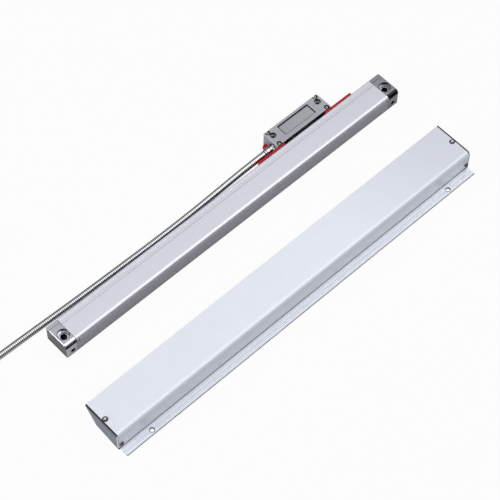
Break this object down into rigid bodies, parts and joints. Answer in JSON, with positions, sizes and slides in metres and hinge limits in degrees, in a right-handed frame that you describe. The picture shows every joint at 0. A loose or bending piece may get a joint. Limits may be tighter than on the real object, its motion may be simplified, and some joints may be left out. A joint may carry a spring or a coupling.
{
  "type": "enclosed linear glass scale with dust cover",
  "caption": "Enclosed glass linear scale with plated end caps, a sliding reading head on an armoured cable with a plug, transport brackets, and a separate aluminium dust cover.",
  "frame": {"origin": "middle of the scale's flat back, at the height of the surface that it lies on", "axes": "+X along the scale towards the end where the reading head rests, +Y from the scale towards the reading head, +Z out of the scale's top"},
  "size_m": [0.6352, 0.2985, 0.0277],
  "materials": {
    "anodised_aluminium": "satin, clear anodised",
    "cover_aluminium": "satin, clear anodised, slightly blue",
    "plated_casting": "bright plated die casting",
    "cover_end_casting": "dark grey satin",
    "head_casting": "light grey satin, fine grain",
    "bare_plate": "brushed, bare",
    "scale_glass": "polished",
    "clear_lens": "polished",
    "black_rubber": "matt",
    "black_plastic": "matt, moulded",
    "circuit_board": "solder mask",
    "red_paint": "satin",
    "steel_screw": "zinc plated",
    "dark_screw": "blackened",
    "spring_steel": "bright drawn",
    "bearing_steel": "polished",
    "carriage_aluminium": "dark anodised",
    "chrome_plate": "polished",
    "armour_steel": "stainless conduit, ribbed",
    "gold_contact": "gold plated"
  },
  "bodies": {
    "root": {"housing": "anodised_aluminium", "glass_scale": "scale_glass", "glass_retainer": "black_rubber", "lip_seal_upper": "black_rubber", "lip_seal_lower": "black_rubber", "end_cap_near": "plated_casting", "end_cap_far": "plated_casting", "end_gasket_near": "black_rubber", "end_gasket_far": "black_rubber", "cap_screws": "dark_screw", "cover_shell": "cover_aluminium", "cover_end_near": "cover_end_casting", "cover_end_far": "cover_end_casting", "cover_screws": "steel_screw"},
    "reading_head": {"head_housing": "head_casting", "head_lid": "head_casting", "head_gasket": "black_rubber", "name_plate": "bare_plate", "head_lid_screws": "steel_screw", "circuit_board": "circuit_board", "board_chips": "black_plastic", "arm_blade": "spring_steel", "arm_screws": "steel_screw", "coupling_wire": "spring_steel", "scanning_carriage": "carriage_aluminium", "lamp_board": "circuit_board", "lamp": "clear_lens", "collimator_lens": "clear_lens", "index_grating": "scale_glass", "sensor_board": "circuit_board", "sensor_chip": "black_plastic", "roller_pins": "spring_steel", "bracket_near": "red_paint", "bracket_far": "red_paint", "bracket_screws": "steel_screw", "cable_gland": "chrome_plate", "cable_ferrule": "chrome_plate", "cable_lead": "armour_steel", "cable_coil": "armour_steel", "cable_tie": "black_plastic", "cable_tail": "armour_steel", "strain_relief": "black_rubber", "plug_hood": "black_plastic", "plug_shell": "chrome_plate", "plug_pins": "gold_contact"},
    "roller_face_1": {"roller_face_1": "bearing_steel"},
    "roller_face_2": {"roller_face_2": "bearing_steel"},
    "roller_face_3": {"roller_face_3": "bearing_steel"},
    "roller_edge_1": {"roller_edge_1": "bearing_steel"},
    "roller_edge_2": {"roller_edge_2": "bearing_steel"},
    "thumbscrew_left": {"thumbscrew_left": "steel_screw"},
    "thumbscrew_right": {"thumbscrew_right": "steel_screw"}
  },
  "joints": [
    {"name": "head_slide", "type": "slide", "parent": "root", "child": "reading_head", "axis": [1, 0, 0], "range_m": [-0.2985, 0.0515]},
    {"name": "roller_face_1_spin", "type": "hinge", "parent": "reading_head", "child": "roller_face_1", "pos_m": [0.1015, -0.0074, 0.01468], "axis": [0, 1, 0], "continuous": true},
    {"name": "roller_face_2_spin", "type": "hinge", "parent": "reading_head", "child": "roller_face_2", "pos_m": [0.1355, -0.0026, 0.01468], "axis": [0, 1, 0], "continuous": true},
    {"name": "roller_face_3_spin", "type": "hinge", "parent": "reading_head", "child": "roller_face_3", "pos_m": [0.1455, -0.0074, 0.01468], "axis": [0, 1, 0], "continuous": true},
    {"name": "roller_edge_1_spin", "type": "hinge", "parent": "reading_head", "child": "roller_edge_1", "pos_m": [0.1055, 0.00408, 0.0104], "axis": [0, 0, 1], "continuous": true},
    {"name": "roller_edge_2_spin", "type": "hinge", "parent": "reading_head", "child": "roller_edge_2", "pos_m": [0.1415, 0.00408, 0.0104], "axis": [0, 0, 1], "continuous": true},
    {"name": "thumbscrew_left_spin", "type": "hinge", "parent": "reading_head", "child": "thumbscrew_left", "pos_m": [-0.273, 0.1351, 0.008], "axis": [1, 0, 0], "continuous": true},
    {"name": "thumbscrew_right_spin", "type": "hinge", "parent": "reading_head", "child": "thumbscrew_right", "pos_m": [-0.273, 0.1601, 0.008], "axis": [1, 0, 0], "continuous": true}
  ],
  "couplings": [
    {"joint": "roller_face_1_spin", "follows": "head_slide", "rad_per_m": 333.33},
    {"joint": "roller_face_2_spin", "follows": "head_slide", "rad_per_m": 333.33},
    {"joint": "roller_face_3_spin", "follows": "head_slide", "rad_per_m": 333.33},
    {"joint": "roller_edge_1_spin", "follows": "head_slide", "rad_per_m": -333.33},
    {"joint": "roller_edge_2_spin", "follows": "head_slide", "rad_per_m": -333.33}
  ]
}
